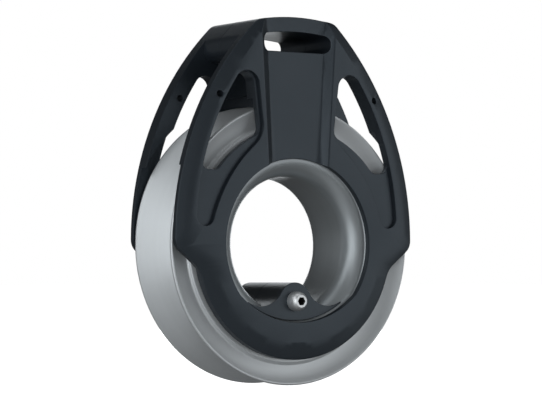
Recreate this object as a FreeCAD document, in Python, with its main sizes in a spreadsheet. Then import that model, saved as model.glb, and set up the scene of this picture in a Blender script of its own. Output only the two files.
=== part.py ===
import FreeCAD, Part
import math
import os
import Sketcher

# An open-centre sheave block. A grooved ring, the sheave, turns on caged rollers round a
# fixed hub ring, between two cheek plates. A lashing goes through the hub, under which a
# post crosses the bore, and a tunnel through the head takes a line or a pin.
# The sheave's axis is the Y axis, its centre is the origin, and the front is towards -Y.
# Every front piece is drawn once and its rear twin is turned half a turn about Z.

Vector = FreeCAD.Vector
TOUCH = 0.01

SIZES = (
    ("groove_depth", 15.0, "depth of the groove"),
    ("crest_reach", 18.77, "sheave's centre plane to the side of a crest"),
    ("crest_break", 0.6, "chamfer on the outer corner of a crest"),
    ("sheave_wall", 5.4, "sheave's wall under its groove"),
    ("groove_round", 5.5, "rounding of the groove's bottom"),
    ("groove_angle", 45.5, "slope of each flank of the groove, in degrees"),
    ("lip_width", 3.73, "raised lip on each side of the sheave"),
    ("lip_drop", 1.74, "crest's side to the face of the lip"),
    ("lip_round", 1.0, "rounding of the lip's outer edge"),
    ("dish_drop", 1.63, "face of the lip to the foot of the dished side"),
    ("lip_foot", 0.97, "lip to the start of the dished side"),
    ("crest_land", 1.1, "flat between the dished side and the crest"),
    ("dish_radius", 24.0, "hollow of the dished side"),
    ("hub_bore", 36.0, "radius of the hub's narrow land"),
    ("land_in", 10.5, "hub's end face to the end of the bore's narrow land"),
    ("flare_radius", 10.0, "round of each flared mouth of the hub"),
    ("flare_rise", 9.3, "bore to the radius where a flare ends"),
    ("mouth_land", 0.6, "flat between a flare and the hub's end face"),
    ("mouth_wall", 3.7, "cheek's flat face to the hub's end face"),
    ("spigot_wall", 1.4, "width of the hub's end face, out to its seat in a cheek"),
    ("race_step", 1.1, "step from that seat up to the roller track"),
    ("race_in", 0.5, "thrust ring's running face to the end of the roller tracks"),
    ("collar_rise", 1.5, "hub's shoulder above the roller track"),
    ("roller_radius", 3.0, "bearing roller"),
    ("roller_end", 3.2, "end of the roller tracks to the end of a roller"),
    ("roller_edge", 0.4, "chamfer at each end of a roller"),
    ("roller_count", 20.0, "rollers round the hub"),
    ("roller_play", 0.1, "clearance between a roller and either track"),
    ("cage_wall", 2.6, "thickness of the roller cage"),
    ("cage_end", 0.8, "end of the roller tracks to the end of the cage"),
    ("cage_play", 0.3, "clearance round a roller in its window"),
    ("ring_margin", 0.3, "sheave's bore to the inside of a thrust ring"),
    ("ring_width", 4.5, "side thrust ring"),
    ("ring_sink", 2.33, "face of the lip to a thrust ring's running face"),
    ("ring_play", 0.3, "clearance between a thrust ring and the sheave"),
    ("ring_seat", 1.0, "depth of a thrust ring's seat in the cheek"),
    ("fit", 0.05, "clearance of a piece in its fixed seat"),
    ("bevel_rise", 2.5, "depth of that bevel"),
    ("plate_web", 3.0, "floor of the clearance to the foot of the cheek's bevelled edge"),
    ("cheek_in", 3.3, "boss to the inside of the thick part of a cheek"),
    ("slope_rise", 3.6, "depth of the sloping inner edge of the front cheek"),
    ("inner_slope", 2.5, "width of that sloping edge"),
    ("boss_back", 3.6, "thrust ring's running face to the boss that carries the hub"),
    ("crest_gap", 1.43, "side of the crest to the floor of the sheave's clearance"),
    ("crest_room", 6.0, "clearance round the sheave's crest"),
    ("boss_rim", 2.0, "thrust ring to the lower ring of the cheek at the foot of its bevel"),
    ("boss_bevel", 9.1, "width of the bevel round the lower ring"),
    ("side_margin", 0.1, "sheave's crest beyond the cheek's side"),
    ("side_radius", 160.0, "bow of the cheek's side"),
    ("side_height", 2.0, "height of the widest place"),
    ("side_bevel", 7.3, "width of the bevel at the side"),
    ("face_radius", 156.9, "bow of the flat face's side"),
    ("face_height", 2.0, "height where the flat face is widest"),
    ("shoulder_round", 8.0, "lower outer corner of a cheek"),
    ("flank_angle", 39.0, "slope of the edge that runs in under the shoulder, in degrees"),
    ("flank_in", 7.7, "a point on that edge, in from the widest place"),
    ("flank_drop", 7.7, "the same point, down"),
    ("face_flank_in", 6.8, "the same on the flat face, in from its widest place"),
    ("face_flank_drop", 4.4, "the same on the flat face, down"),
    ("flank_blend", 14.0, "hollow where the flank meets the lower ring"),
    ("head_rise", 45.9, "sheave's crest to the top of the head"),
    ("head_bow", 130.0, "bow of the head's top edge"),
    ("head_round", 8.0, "upper outer corner of a cheek"),
    ("bevel_top", 5.2, "width of the bevel at the top of the head"),
    ("mouth_step", 0.4, "how far the cheek's hole stands in from the hub's end face"),
    ("floor_ease", 7.6, "how much flatter the bottom of that hole is"),
    ("floor_rise", 3.9, "how far that bottom stands in from the round hole"),
    ("channel_depth", 3.2, "channel down the middle strap"),
    ("channel_under", 5.5, "channel's run into the centre hole"),
    ("channel_low_face", 18.8, "half width there at the face"),
    ("channel_low_floor", 14.6, "half width there at the floor"),
    ("channel_over", 4.1, "channel's run past the top of the head"),
    ("channel_top_face", 24.3, "half width there at the face"),
    ("channel_top_floor", 18.2, "half width there at the floor"),
    ("ridge_round", 2.0, "rounding of the channel's edges"),
    ("pocket_depth", 2.2, "side pocket"),
    ("strap_edge", 3.7, "channel's lower end to a side pocket's inner edge"),
    ("pocket_lean", 7.0, "lean of that edge from upright, in degrees"),
    ("pocket_foot", 2.6, "lower ring up to the place where that edge is measured"),
    ("pocket_arc_x", -25.69, "centre of the pocket's lower edge, across"),
    ("pocket_arc_z", -10.14, "centre of the pocket's lower edge, up"),
    ("pocket_arc_over", 20.6, "radius of the pocket's lower edge beyond the lower ring's"),
    ("pocket_margin", 4.0, "flat face left beside a side pocket"),
    ("pocket_bow_z", 7.2, "centre of the pocket's outer edge, up"),
    ("pocket_bow_radius", 143.1, "radius of the pocket's outer edge"),
    ("pocket_top_round", 7.6, "pocket's top corner"),
    ("pocket_side_round", 13.0, "pocket's inner corner"),
    ("pocket_toe_round", 5.3, "pocket's bottom corner"),
    ("window_inset", 2.0, "margin inside a pocket round its window"),
    ("window_step", 1.2, "lower ring to a window's lower edge"),
    ("window_drop", 24.1, "radius of that edge less the height of the window's lowest edge"),
    ("window_top_round", 6.4, "window's top corner"),
    ("window_side_round", 5.0, "window's inner corner"),
    ("window_toe_round", 4.4, "window's outer corners"),
    ("lace_in", 25.7, "small hole near the cheek's edge, in from the cheek's widest place"),
    ("lace_drop", 19.6, "small hole near the cheek's edge, down from the cross-member"),
    ("lace_radius", 1.7, "small hole near the cheek's edge"),
    ("tunnel_half", 21.2, "half width of the tunnel through the head"),
    ("tunnel_drop", 18.6, "top of the head to the bottom of the tunnel"),
    ("head_roof", 7.9, "top of the head to the top of the tunnel"),
    ("tunnel_round", 4.0, "corners of the tunnel"),
    ("head_side", 6.7, "head screws to the side of the cross-member"),
    ("tunnel_floor", 4.7, "bottom of the tunnel to the underside of the cross-member"),
    ("head_toe", 6.5, "lower corners of the cross-member"),
    ("head_hip", 6.0, "corners where the cross-member meets the head's side"),
    ("screw_wall", 6.4, "head screws out from the tunnel's side"),
    ("screw_rise", 3.7, "head screws above the bottom of the tunnel"),
    ("head_screw_radius", 2.0, "head screw's shank"),
    ("head_cap_radius", 3.5, "head screw's cap"),
    ("head_cap_height", 4.0, "head screw's cap"),
    ("head_key", 3.0, "hexagon of a head screw, across its flats"),
    ("head_key_depth", 2.0, "depth of that hexagon"),
    ("screw_edge", 0.4, "chamfer at a screw's end and round its cap"),
    ("seat_sink", 6.7, "cheek's flat face to the seat of the screws' caps"),
    ("head_grip", 12.5, "reach of the screws past the centre plane"),
    ("post_inset", 5.7, "bore's lowest line to the middle of the post"),
    ("post_radius", 10.0, "post"),
    ("lug_sink", 3.7, "cheek's flat face to a lug's face"),
    ("lug_gap", 1.1, "gap between a lug's face and the edge of the cheek's hole"),
    ("neck_half", 6.85, "half width of the post between its two hollows"),
    ("hollow_radius", 14.6, "radius of the hollow beside the post"),
    ("lug_in", 6.5, "bore's radius less the half width of a lug"),
    ("lug_tip", 0.25, "rounding of a lug's thin ends"),
    ("bore_play", 0.1, "clearance between a lug and the bore"),
    ("post_screw_radius", 3.0, "post screw's shank"),
    ("screw_in", 4.0, "rear lug's face to the end of the post screw"),
    ("button_radius", 5.25, "post screw's button head"),
    ("button_height", 6.0, "post screw's button head"),
    ("button_flat", 3.3, "flat top of the button head"),
    ("button_rim", 1.8, "upright rim of the button head"),
    ("button_key", 4.0, "hexagon of the post screw, across its flats"),
    ("button_key_depth", 2.1, "depth of that hexagon"),
    ("screw_play", 0.25, "clearance round a screw's shank"),
)


class Size:
    """A length as a number, with the same sum written as a formula of the sheet."""

    def __init__(self, value, text):
        self.value = value
        self.text = text

    def _with(self, other, value, sign, turned=False):
        left, right = self.text, Size.of(other).text
        if turned:
            left, right = right, left
        return Size(value, f"({left} {sign} {right})")

    @staticmethod
    def of(item):
        return item if isinstance(item, Size) else Size(float(item), repr(float(item)))

    def __add__(self, other):
        return self._with(other, self.value + float(other), "+")

    def __radd__(self, other):
        return self._with(other, float(other) + self.value, "+", True)

    def __sub__(self, other):
        return self._with(other, self.value - float(other), "-")

    def __rsub__(self, other):
        return self._with(other, float(other) - self.value, "-", True)

    def __mul__(self, other):
        return self._with(other, self.value * float(other), "*")

    def __rmul__(self, other):
        return self._with(other, float(other) * self.value, "*", True)

    def __truediv__(self, other):
        return self._with(other, self.value / float(other), "/")

    def __neg__(self):
        return Size(-self.value, f"(-1 * {self.text})")

    def __float__(self):
        return self.value


class Sizes:
    """The driving dimensions, kept in the document's sheet and read by their names."""

    def __init__(self, doc, rows):
        self.sheet = doc.addObject("Spreadsheet::Sheet", "Sizes")
        self.names = {}
        for row, (name, value, note) in enumerate(rows, start=1):
            self.sheet.set(f"A{row}", note)
            self.sheet.set(f"B{row}", str(value))
            self.sheet.setAlias(f"B{row}", name)
            self.names[name] = value
        doc.recompute()

    def __getattr__(self, name):
        return Size(self.names[name], f"Sizes.{name}")


doc = FreeCAD.newDocument("SheaveBlock")
size = Sizes(doc, SIZES)


def sheave_bore():
    return size.race_radius + 2 * (size.roller_radius + size.roller_play)


def stack_rings():
    """Radii that follow from one another, from the hub's bore out to the sheave's crest."""
    size.flare_mouth = size.hub_bore + size.flare_rise
    size.mouth_edge = size.flare_mouth + size.mouth_land
    size.spigot_radius = size.mouth_edge + size.spigot_wall
    size.race_radius = size.spigot_radius + size.race_step
    size.hub_collar = size.race_radius + size.collar_rise
    size.ring_inner = sheave_bore() + size.ring_margin
    size.ring_outer = size.ring_inner + size.ring_width
    size.lip_radius = size.ring_outer + size.ring_play + size.lip_width
    size.dish_start = size.lip_radius + size.lip_foot
    size.groove_radius = sheave_bore() + size.sheave_wall
    size.sheave_radius = size.groove_radius + size.groove_depth
    size.dish_end = size.sheave_radius - size.crest_land


def stack_widths():
    """Places along the axis that follow from the sheave's crest, from the bearing to the face."""
    size.lip_reach = size.crest_reach - size.lip_drop
    size.dish_reach = size.lip_reach - size.dish_drop
    size.ring_face = size.lip_reach - size.ring_sink
    size.race_half = size.ring_face - size.race_in
    size.cage_half = size.race_half - size.cage_end
    size.roller_length = 2 * (size.race_half - size.roller_end)
    size.boss_inner = size.ring_face + size.boss_back
    size.cheek_inner = size.boss_inner - size.cheek_in
    size.inner_edge = size.cheek_inner + size.slope_rise
    size.relief_floor = size.crest_reach + size.crest_gap
    size.bevel_foot = size.relief_floor + size.plate_web
    size.cheek_face = size.bevel_foot + size.bevel_rise
    size.hub_end = size.cheek_face - size.mouth_wall
    size.lug_face = size.cheek_face - size.lug_sink
    size.bore_land = size.hub_end - size.land_in
    size.post_screw_end = size.lug_face - size.screw_in
    size.head_seat = size.cheek_face - size.seat_sink


def place_cheek_edges():
    """The cheek's edges, which follow the sheave, the bearing and the hub."""
    size.relief_radius = size.sheave_radius + size.crest_room
    size.boss_radius = size.ring_outer + size.boss_rim
    size.boss_face = size.boss_radius - size.boss_bevel
    size.mouth_radius = size.mouth_edge - size.mouth_step
    size.mouth_floor_radius = size.mouth_radius + size.floor_ease
    size.mouth_floor_height = size.floor_ease + size.floor_rise
    size.side_reach = size.sheave_radius - size.side_margin
    size.face_reach = size.side_reach - size.side_bevel
    size.flank_reach = size.side_reach - size.flank_in
    size.face_flank_reach = size.face_reach - size.face_flank_in
    size.head_top = size.sheave_radius + size.head_rise
    size.tunnel_low = size.head_top - size.tunnel_drop
    size.tunnel_top = size.head_top - size.head_roof
    size.head_low = size.tunnel_low - size.tunnel_floor
    size.head_screw_z = size.tunnel_low + size.screw_rise
    size.head_screw_x = size.tunnel_half + size.screw_wall
    size.head_half = size.head_screw_x + size.head_side
    size.channel_top_z = size.head_top + size.channel_over
    size.channel_low_z = size.mouth_radius - size.channel_under


def place_openings():
    """Pockets, windows, small holes and the post, which follow the cheek's edges and the bore."""
    size.pocket_inner = size.channel_low_face + size.strap_edge
    size.pocket_bow_x = size.face_reach - size.pocket_margin - size.pocket_bow_radius
    size.pocket_arc_radius = size.boss_radius + size.pocket_arc_over
    size.window_floor = size.boss_radius + size.window_step
    size.window_low = size.window_floor - size.window_drop
    size.lace_z = size.head_low - size.lace_drop
    size.lace_x = size.side_reach - size.lace_in
    size.post_z = size.post_inset - size.hub_bore
    size.hollow_x = size.hollow_radius + size.neck_half
    size.lug_reach = size.hub_bore - size.lug_in


stack_rings()
stack_widths()
place_cheek_edges()
place_openings()


def bind(item, name, length):
    """Tie one property to a size."""
    item.setExpression(name, Size.of(length).text)


def new_body(label):
    body = doc.addObject("PartDesign::Body", "Body_" + label)
    body.Label = label
    return body


def origin_part(body, role):
    return next(item for item in body.Origin.OriginFeatures if item.Role == role)


def new_sketch(body, name, role, offset=0.0):
    """A sketch on one of the body's own planes, moved along that plane's normal."""
    sketch = body.newObject("Sketcher::SketchObject", f"{name}_{body.Label}")
    sketch.AttachmentSupport = [(origin_part(body, role), "")]
    sketch.MapMode = "FlatFace"
    offset = Size.of(offset)
    sketch.AttachmentOffset = FreeCAD.Placement(Vector(0, 0, offset.value), FreeCAD.Rotation())
    bind(sketch, "AttachmentOffset.Base.z", offset)
    return sketch


def drive(sketch, index, length):
    sketch.setExpression(f"Constraints[{index}]", Size.of(length).text)


def pin(sketch, item, end, point):
    """Hold one end or centre of a sketched line at a place given by two sizes."""
    for kind, length, axis in zip(("DistanceX", "DistanceY"), point, (-2, -1)):
        if float(length) == 0:
            sketch.addConstraint(Sketcher.Constraint("PointOnObject", item, end, axis))
            continue
        index = sketch.addConstraint(Sketcher.Constraint(kind, item, end, float(length)))
        drive(sketch, index, length)


def add_circle(sketch, radius, centre=(0.0, 0.0)):
    place = Vector(float(centre[0]), float(centre[1]), 0)
    item = sketch.addGeometry(Part.Circle(place, Vector(0, 0, 1), float(radius)), False)
    index = sketch.addConstraint(Sketcher.Constraint("Radius", item, float(radius)))
    drive(sketch, index, radius)
    if float(centre[0]) == 0 and float(centre[1]) == 0:
        sketch.addConstraint(Sketcher.Constraint("Coincident", item, 3, -1, 1))
    else:
        pin(sketch, item, 3, centre)


def arc_centre(start, end, radius, left):
    """Centre of the short arc between two points, on the left of the way or on its right."""
    dx, dz = end[0] - start[0], end[1] - start[1]
    chord = math.hypot(dx, dz)
    rise = math.sqrt(max(radius ** 2 - chord ** 2 / 4, 0.0))
    side = 1 if left else -1
    return ((start[0] + end[0]) / 2 - side * dz / chord * rise,
            (start[1] + end[1]) / 2 + side * dx / chord * rise)


def arc_between(centre, start, end, counter_clockwise):
    """An arc about a centre from one point to another."""
    if not counter_clockwise:
        start, end = end, start
    first = math.atan2(start[1] - centre[1], start[0] - centre[0])
    last = math.atan2(end[1] - centre[1], end[0] - centre[0])
    radius = math.hypot(start[0] - centre[0], start[1] - centre[1])
    circle = Part.Circle(Vector(centre[0], centre[1], 0), Vector(0, 0, 1), radius)
    return Part.ArcOfCircle(circle, first, last if last > first else last + 2 * math.pi)


def add_chain(sketch, steps):
    """A closed outline. Each step is a point, and the radius of the arc that leads on from it.

    No radius means a straight line. A positive radius has its centre on the left of the way
    to the next point, and a negative one on its right.
    """
    points = [(float(step[0]), float(step[1])) for step in steps]
    for number, step in enumerate(steps):
        start, end = points[number], points[(number + 1) % len(points)]
        if len(step) == 2:
            line = Part.LineSegment(Vector(*start, 0), Vector(*end, 0))
            item, end_of_item = sketch.addGeometry(line, False), 1
        else:
            left = float(step[2]) > 0
            centre = arc_centre(start, end, abs(float(step[2])), left)
            item = sketch.addGeometry(arc_between(centre, start, end, left), False)
            end_of_item = 1 if left else 2
            radius = step[2] if left else -step[2]
            index = sketch.addConstraint(Sketcher.Constraint("Radius", item, float(radius)))
            drive(sketch, index, radius)
        pin(sketch, item, end_of_item, step[:2])
        if number:
            sketch.addConstraint(Sketcher.Constraint("Coincident", last, 3 - last_end,
                                                     item, end_of_item))
        else:
            first, first_end = item, end_of_item
        last, last_end = item, end_of_item
    sketch.addConstraint(Sketcher.Constraint("Coincident", last, 3 - last_end, first, first_end))


class Round:
    """One side of an outline that lies on a circle."""

    def __init__(self, x, z, radius, hollow=False):
        self.x, self.z, self.radius = float(x), float(z), float(radius)
        self.hollow = hollow

    def moved(self, inwards):
        change = inwards if self.hollow else -inwards
        return Round(self.x, self.z, self.radius + change, self.hollow)

    def nearest(self, point):
        away = math.hypot(point[0] - self.x, point[1] - self.z)
        return (self.x + (point[0] - self.x) * self.radius / away,
                self.z + (point[1] - self.z) * self.radius / away)

    def piece(self, start, end):
        return arc_between((self.x, self.z), start, end, not self.hollow)

    def mirrored(self):
        return Round(-self.x, self.z, self.radius, self.hollow)


class Straight:
    """One straight side of an outline, through a point, with the inside on its left."""

    def __init__(self, x, z, angle):
        self.x, self.z, self.angle = float(x), float(z), float(angle)
        self.along = (math.cos(math.radians(self.angle)), math.sin(math.radians(self.angle)))

    def moved(self, inwards):
        return Straight(self.x - self.along[1] * inwards, self.z + self.along[0] * inwards,
                        self.angle)

    def nearest(self, point):
        reach = (point[0] - self.x) * self.along[0] + (point[1] - self.z) * self.along[1]
        return (self.x + self.along[0] * reach, self.z + self.along[1] * reach)

    def piece(self, start, end):
        return Part.LineSegment(Vector(*start, 0), Vector(*end, 0))

    def mirrored(self):
        return Straight(-self.x, self.z, -self.angle)


def meeting(side, other, near):
    """The place where two sides meet, nearest to a given point."""
    if isinstance(side, Straight) and isinstance(other, Straight):
        cross = side.along[0] * other.along[1] - side.along[1] * other.along[0]
        gap = (other.x - side.x, other.z - side.z)
        reach = (gap[0] * other.along[1] - gap[1] * other.along[0]) / cross
        return (side.x + side.along[0] * reach, side.z + side.along[1] * reach)
    if isinstance(side, Round) and isinstance(other, Straight):
        side, other = other, side
    if isinstance(side, Straight):
        foot = side.nearest((other.x, other.z))
        off = math.hypot(foot[0] - other.x, foot[1] - other.z)
        half = math.sqrt(max(other.radius ** 2 - off ** 2, 0.0))
        along = side.along
    else:
        span = math.hypot(other.x - side.x, other.z - side.z)
        towards = ((other.x - side.x) / span, (other.z - side.z) / span)
        reach = (side.radius ** 2 - other.radius ** 2 + span ** 2) / (2 * span)
        foot = (side.x + towards[0] * reach, side.z + towards[1] * reach)
        half = math.sqrt(max(side.radius ** 2 - reach ** 2, 0.0))
        along = (-towards[1], towards[0])
    found = [(foot[0] + sign * along[0] * half, foot[1] + sign * along[1] * half)
             for sign in (1, -1)]
    return min(found, key=lambda place: math.dist(place, near))


def rounded_outline(sides, corners):
    """The lines and arcs of an outline that runs counter-clockwise along its sides.

    Each corner lies after the side of the same number: its rounding, below nought for a
    hollow one, and a point near it.
    """
    count = len(sides)
    starts, ends, rounds = [None] * count, [None] * count, []
    for number, (rounding, near) in enumerate(corners):
        side, after = sides[number], sides[(number + 1) % count]
        rounding = float(rounding)
        if rounding == 0:
            centre = meeting(side, after, near)
            ends[number] = starts[(number + 1) % count] = centre
            rounds.append(None)
            continue
        centre = meeting(side.moved(rounding), after.moved(rounding), near)
        ends[number] = side.nearest(centre)
        starts[(number + 1) % count] = after.nearest(centre)
        rounds.append(arc_between(centre, ends[number], starts[(number + 1) % count],
                                  rounding > 0))
    pieces = []
    for number, side in enumerate(sides):
        pieces.append(side.piece(starts[number], ends[number]))
        if rounds[number]:
            pieces.append(rounds[number])
    return pieces


def add_outline(sketch, pieces):
    for piece in pieces:
        item = sketch.addGeometry(piece, False)
        sketch.addConstraint(Sketcher.Constraint("Block", item))


def pad(body, sketch, name, length):
    feature = body.newObject("PartDesign::Pad", f"{name}_{body.Label}")
    feature.Profile = sketch
    feature.Type = "Length"
    bind(feature, "Length", length)
    return feature


def pocket(body, sketch, name, length, towards_normal=False):
    """Cut a sketch's outline away, over a length against the plane's normal or along it."""
    doc.recompute()
    before = body.Shape.Volume
    feature = body.newObject("PartDesign::Pocket", f"{name}_{body.Label}")
    feature.Profile = sketch
    feature.Type = "Length"
    feature.Reversed = towards_normal
    bind(feature, "Length", length)
    doc.recompute()
    if not body.Shape.Volume < before:
        raise RuntimeError(f"{name} cuts nothing from {body.Label}")
    return feature


def revolve(body, sketch, name):
    """Turn a profile, drawn with its radius across and its place along Y, about the axis."""
    feature = body.newObject("PartDesign::Revolution", f"{name}_{body.Label}")
    feature.Profile = sketch
    feature.ReferenceAxis = (sketch, ["V_Axis"])
    feature.Angle = 360
    return feature


def fillet(body, name, radius, chosen):
    """Round the edges of the body that a test picks."""
    doc.recompute()
    base = body.Tip
    edges = [f"Edge{number}" for number, edge in enumerate(base.Shape.Edges, start=1)
             if chosen(edge)]
    if not edges:
        raise RuntimeError(f"{name} finds no edge on {body.Label}")
    feature = body.newObject("PartDesign::Fillet", f"{name}_{body.Label}")
    feature.Base = (base, edges)
    bind(feature, "Radius", radius)
    return feature


def turn_to_rear(body):
    body.Placement = FreeCAD.Placement(Vector(0, 0, 0), FreeCAD.Rotation(Vector(0, 0, 1), 180))


def near(x, z):
    """A plain point close to a corner, to choose between two places where its sides meet."""
    return (float(x), float(z))


def cheek_outline(top, reach, bow, height, flank_reach, flank_drop, ring, inwards=0.0):
    """A cheek's outer edge: bowed head, bowed sides, a shoulder, a sloping flank and a ring."""
    side = Round(reach - bow, height, bow).moved(inwards)
    flank = Straight(flank_reach, -flank_drop, size.flank_angle).moved(inwards)
    head = Round(0, top - size.head_bow, size.head_bow).moved(inwards)
    sides = [Round(0, 0, ring).moved(inwards), flank, side, head, side.mirrored(),
             flank.mirrored()]
    right = [(-size.flank_blend, near(ring, -flank_drop)), (size.shoulder_round, near(reach, 0)),
             (size.head_round, near(size.tunnel_half, top))]
    left = [(rounding, (-place[0], place[1])) for rounding, place in reversed(right)]
    return rounded_outline(sides, right + left)


def foot_outline(inwards=0.0):
    return cheek_outline(size.head_top, size.side_reach, size.side_radius, size.side_height,
                         size.flank_reach, size.flank_drop, size.boss_radius, inwards)


def face_outline():
    return cheek_outline(size.head_top - size.bevel_top, size.face_reach, size.face_radius,
                         size.face_height, size.face_flank_reach, size.face_flank_drop,
                         size.boss_face)


def pocket_bow():
    return Round(size.pocket_bow_x, size.pocket_bow_z, size.pocket_bow_radius)


def pocket_strap():
    return Straight(size.pocket_inner, size.boss_radius + size.pocket_foot, -90 - size.pocket_lean)


def pocket_outline():
    """A side pocket: a straight inner edge, a lower edge round the hub and a bowed outer edge."""
    sides = [pocket_strap(),
             Round(size.pocket_arc_x, size.pocket_arc_z, size.pocket_arc_radius, True),
             pocket_bow()]
    corners = [(size.pocket_side_round, near(size.pocket_inner, size.window_floor)),
               (size.pocket_toe_round, near(size.boss_radius, 0)),
               (size.pocket_top_round, near(size.pocket_inner, size.tunnel_low))]
    return rounded_outline(sides, corners)


def window_outline():
    """A window through the upper part of a pocket, which shares its outer edge."""
    inset = size.window_inset.value
    sides = [pocket_strap().moved(inset), Round(0, 0, size.window_floor, True),
             Straight(0, size.window_low, 0), pocket_bow()]
    corners = [(size.window_side_round, near(size.pocket_inner, size.window_floor)),
               (size.window_toe_round, near(size.lace_x, size.window_low)),
               (size.window_toe_round, near(size.boss_radius, size.window_low)),
               (size.window_top_round, near(size.pocket_inner, size.tunnel_low))]
    return rounded_outline(sides, corners)


def mirrored(piece):
    """The same line or arc on the other side of the middle."""
    if isinstance(piece, Part.LineSegment):
        start, end = piece.StartPoint, piece.EndPoint
        return Part.LineSegment(Vector(-start.x, start.y, 0), Vector(-end.x, end.y, 0))
    centre = Vector(-piece.Center.x, piece.Center.y, 0)
    circle = Part.Circle(centre, Vector(0, 0, 1), piece.Radius)
    return Part.ArcOfCircle(circle, math.pi - piece.LastParameter,
                            math.pi - piece.FirstParameter)


def both_sides(pieces):
    return pieces + [mirrored(piece) for piece in pieces]


def add_head_half(body):
    """The half of the head's cross-member that this cheek carries, out to the centre plane."""
    sketch = new_sketch(body, "HeadOutline", "XZ_Plane")
    half, low, toe = size.head_half, size.head_low, size.head_toe
    top = Round(0, size.head_top - size.head_bow, size.head_bow)
    side = Round(size.side_reach - size.side_radius, size.side_height, size.side_radius)
    sides = [Straight(0, low, 0), Straight(half, 0, 90), side, top, side.mirrored(),
             Straight(-half, 0, -90)]
    hip = size.head_hip
    corners = [(toe, near(half, low)), (hip, near(half, size.tunnel_top)),
               (size.head_round, near(size.tunnel_half, size.head_top)),
               (size.head_round, near(-size.tunnel_half, size.head_top)),
               (hip, near(-half, size.tunnel_top)), (toe, near(-half, low))]
    add_outline(sketch, rounded_outline(sides, corners))
    pad(body, sketch, "HeadHalf", size.inner_edge)


def cut_tunnel(body):
    """The tunnel through the head, with its top edge bowed like the head's."""
    sketch = new_sketch(body, "TunnelOutline", "XZ_Plane")
    half, low, top = size.tunnel_half, size.tunnel_low, size.tunnel_top
    sides = [Straight(0, low, 0), Straight(half, 0, 90),
             Round(0, top - size.head_bow, size.head_bow), Straight(-half, 0, -90)]
    corners = [(size.tunnel_round, near(x, z))
               for x, z in ((half, low), (half, top), (-half, top), (-half, low))]
    add_outline(sketch, rounded_outline(sides, corners))
    pocket(body, sketch, "Tunnel", size.cheek_face, True)


def cut_channel(body):
    """The channel down the middle strap, wider at the face than at its floor."""
    floor = new_sketch(body, "ChannelFloor", "XZ_Plane", size.cheek_face - size.channel_depth)
    face = new_sketch(body, "ChannelFace", "XZ_Plane", size.cheek_face)
    for sketch, low, top in ((floor, size.channel_low_floor, size.channel_top_floor),
                             (face, size.channel_low_face, size.channel_top_face)):
        add_chain(sketch, [(-low, size.channel_low_z), (low, size.channel_low_z),
                           (top, size.channel_top_z), (-top, size.channel_top_z)])
    cut = body.newObject("PartDesign::SubtractiveLoft", f"Channel_{body.Label}")
    cut.Profile = floor
    cut.Sections = [face]
    cut.Ruled = True


def is_channel_edge(edge):
    """One of the two long straight edges where the channel meets the cheek's flat face."""
    ends = [vertex.Point for vertex in edge.Vertexes]
    flat = all(abs(end.y + size.cheek_face.value) < TOUCH for end in ends)
    upright = len(ends) == 2 and abs(ends[0].z - ends[1].z) > abs(ends[0].x - ends[1].x)
    inside = all(abs(end.x) < size.channel_top_face.value for end in ends)
    return flat and upright and inside and isinstance(edge.Curve, Part.Line)


def add_slope(body, name, start, end, outline):
    """A sloping edge from the cheek's full outline to a smaller one."""
    foot = new_sketch(body, name + "Foot", "XZ_Plane", start)
    add_outline(foot, foot_outline())
    top = new_sketch(body, name + "Top", "XZ_Plane", end)
    add_outline(top, outline)
    slope = body.newObject("PartDesign::AdditiveLoft", f"{name}_{body.Label}")
    slope.Profile = foot
    slope.Sections = [top]
    slope.Ruled = True


def make_cheek(label, front):
    body = new_body(label)
    inner = size.inner_edge if front else size.cheek_inner
    outline = new_sketch(body, "FootOutline", "XZ_Plane", inner)
    add_outline(outline, foot_outline())
    pad(body, outline, "Plate", size.bevel_foot - inner)
    add_slope(body, "Bevel", size.bevel_foot, size.cheek_face, face_outline())
    if front:
        add_slope(body, "InnerSlope", inner, size.cheek_inner, foot_outline(size.inner_slope))

    hollow = new_sketch(body, "Hollow", "XZ_Plane", size.cheek_inner)
    add_circle(hollow, size.relief_radius)
    pocket(body, hollow, "SheaveHollow", size.boss_inner - size.cheek_inner, True)
    relief = new_sketch(body, "Relief", "XZ_Plane", size.cheek_inner)
    add_circle(relief, size.relief_radius)
    add_circle(relief, size.boss_radius)
    pocket(body, relief, "CrestRelief", size.relief_floor - size.cheek_inner, True)
    add_head_half(body)

    seat = new_sketch(body, "HubSeat", "XZ_Plane", size.cheek_inner)
    add_circle(seat, size.spigot_radius + size.fit)
    pocket(body, seat, "HubSeat", size.hub_end - size.cheek_inner, True)
    ring_seat = new_sketch(body, "RingSeat", "XZ_Plane", size.boss_inner)
    add_circle(ring_seat, size.ring_outer + size.fit)
    add_circle(ring_seat, size.ring_inner - size.fit)
    pocket(body, ring_seat, "RingSeat", size.ring_seat, True)

    mouth = new_sketch(body, "Mouth", "XZ_Plane", size.cheek_inner)
    sides = [Round(0, size.mouth_floor_height, size.mouth_floor_radius),
             Round(0, 0, size.mouth_radius)]
    reach = float(size.hub_bore)
    add_outline(mouth, rounded_outline(sides, [(0, (reach, -reach)), (0, (-reach, -reach))]))
    pocket(body, mouth, "Mouth", size.cheek_face - size.cheek_inner, True)

    cut_channel(body)
    fillet(body, "Ridge", size.ridge_round, is_channel_edge)

    recess = new_sketch(body, "SidePockets", "XZ_Plane", size.cheek_face)
    add_outline(recess, both_sides(pocket_outline()))
    pocket(body, recess, "SidePockets", size.pocket_depth)
    windows = new_sketch(body, "Windows", "XZ_Plane", size.cheek_face)
    add_outline(windows, both_sides(window_outline()))
    pocket(body, windows, "Windows", size.cheek_face - size.cheek_inner)

    cut_tunnel(body)
    laces = new_sketch(body, "LaceHoles", "XZ_Plane", size.cheek_face)
    for x in (size.lace_x, -size.lace_x):
        add_circle(laces, size.lace_radius, (x, size.lace_z))
    pocket(body, laces, "LaceHoles", size.cheek_face - size.cheek_inner)
    cut_head_screw_holes(body, front)
    if not front:
        turn_to_rear(body)
    return body


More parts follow.
